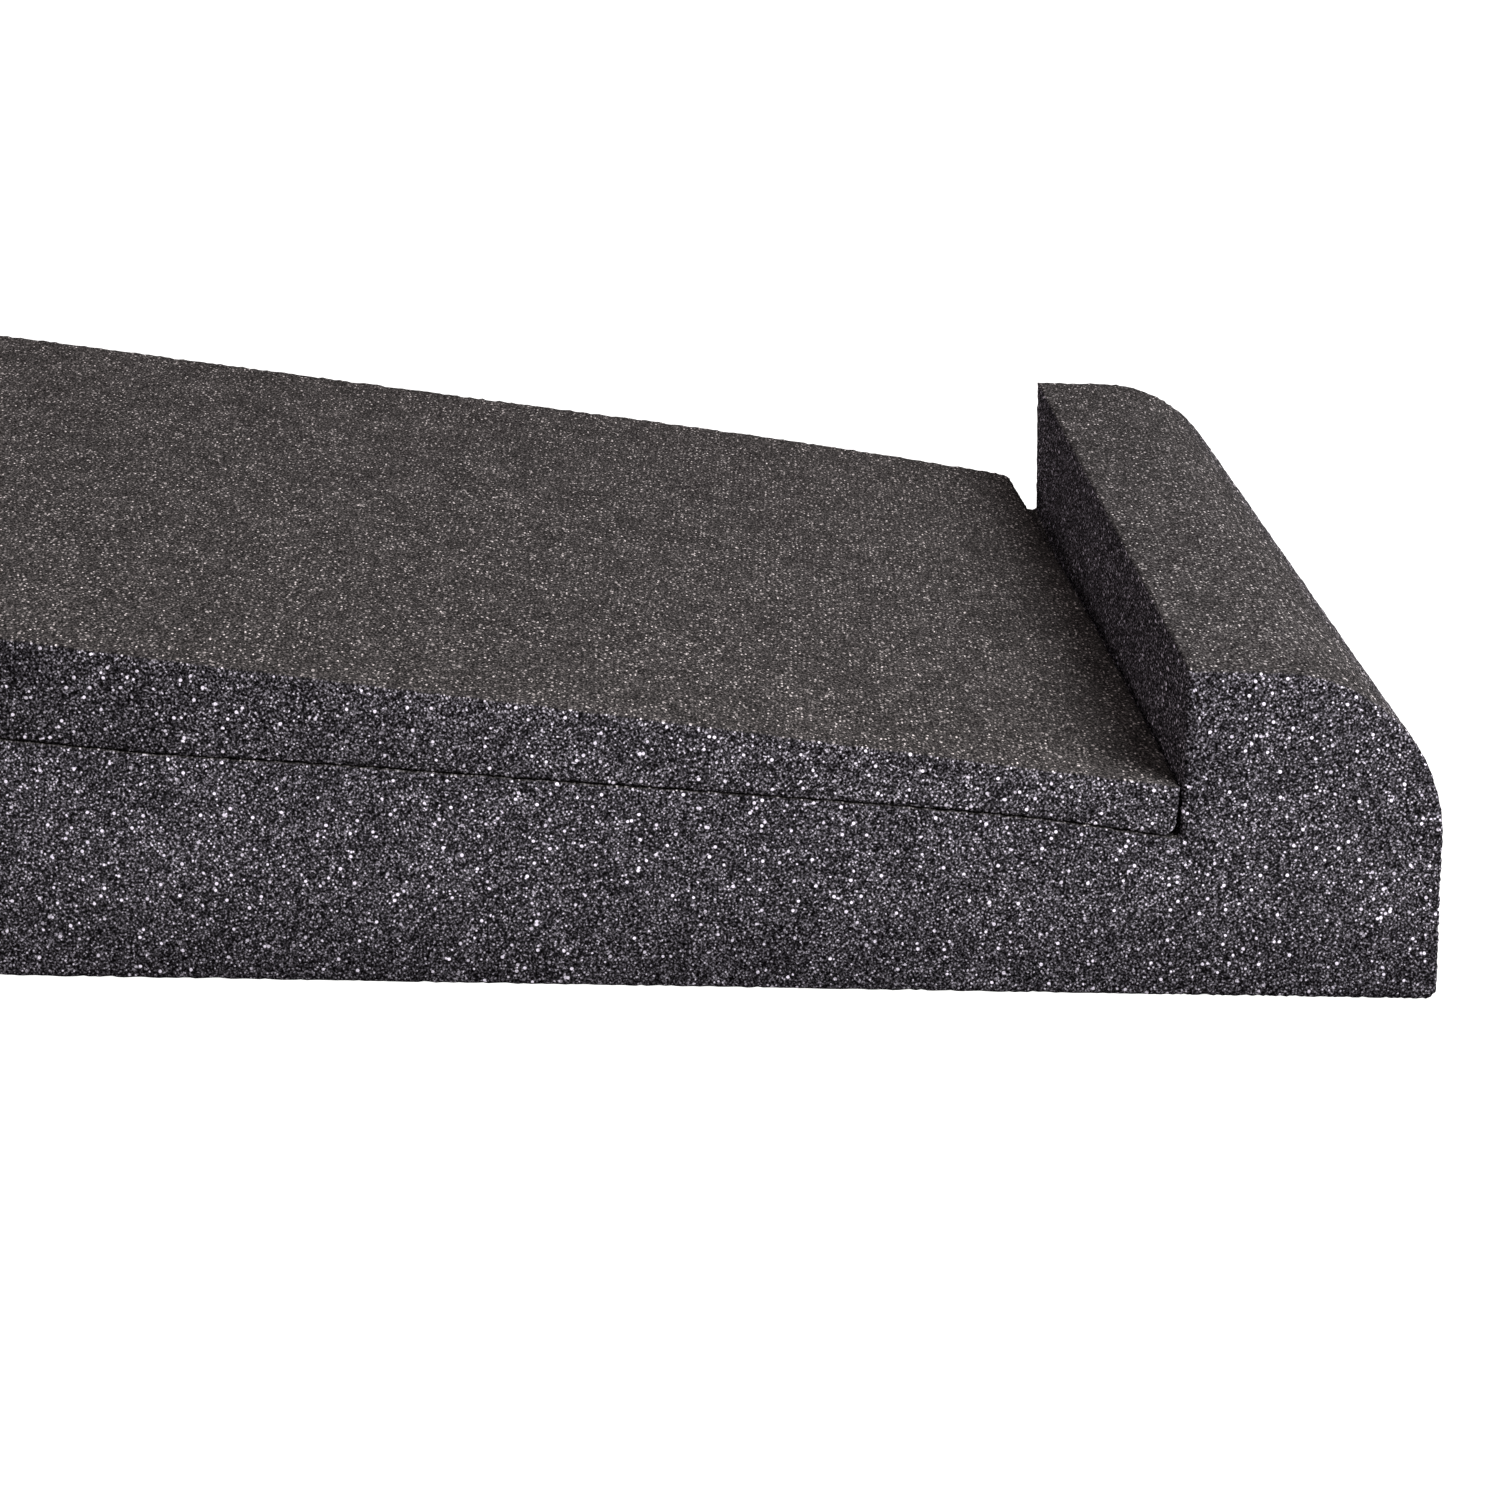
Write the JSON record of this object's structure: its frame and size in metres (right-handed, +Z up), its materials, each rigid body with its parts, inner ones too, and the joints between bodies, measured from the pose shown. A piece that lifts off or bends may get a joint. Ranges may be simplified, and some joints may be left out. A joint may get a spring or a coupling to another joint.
{
  "type": "speaker isolation pad",
  "caption": "Foam pad for under a desktop loudspeaker: a base with a raised rounded stop lip and a sloping floor, and a loose wedge on it that tilts the seat.",
  "frame": {"origin": "on the underside, under the middle of the pad's length and width", "axes": "+X along the length toward the stop lip, +Y across the width, +Z up"},
  "size_m": [0.3, 0.2, 0.0561],
  "materials": {
    "base_foam": "open-cell polyurethane foam, cut faces, charcoal grey, matte with glinting cell windows",
    "insert_foam": "open-cell polyurethane foam, cut faces, charcoal grey, matte with glinting cell windows"
  },
  "bodies": {
    "root": {"base": "base_foam", "wedge_insert": "insert_foam"}
  },
  "joints": []
}
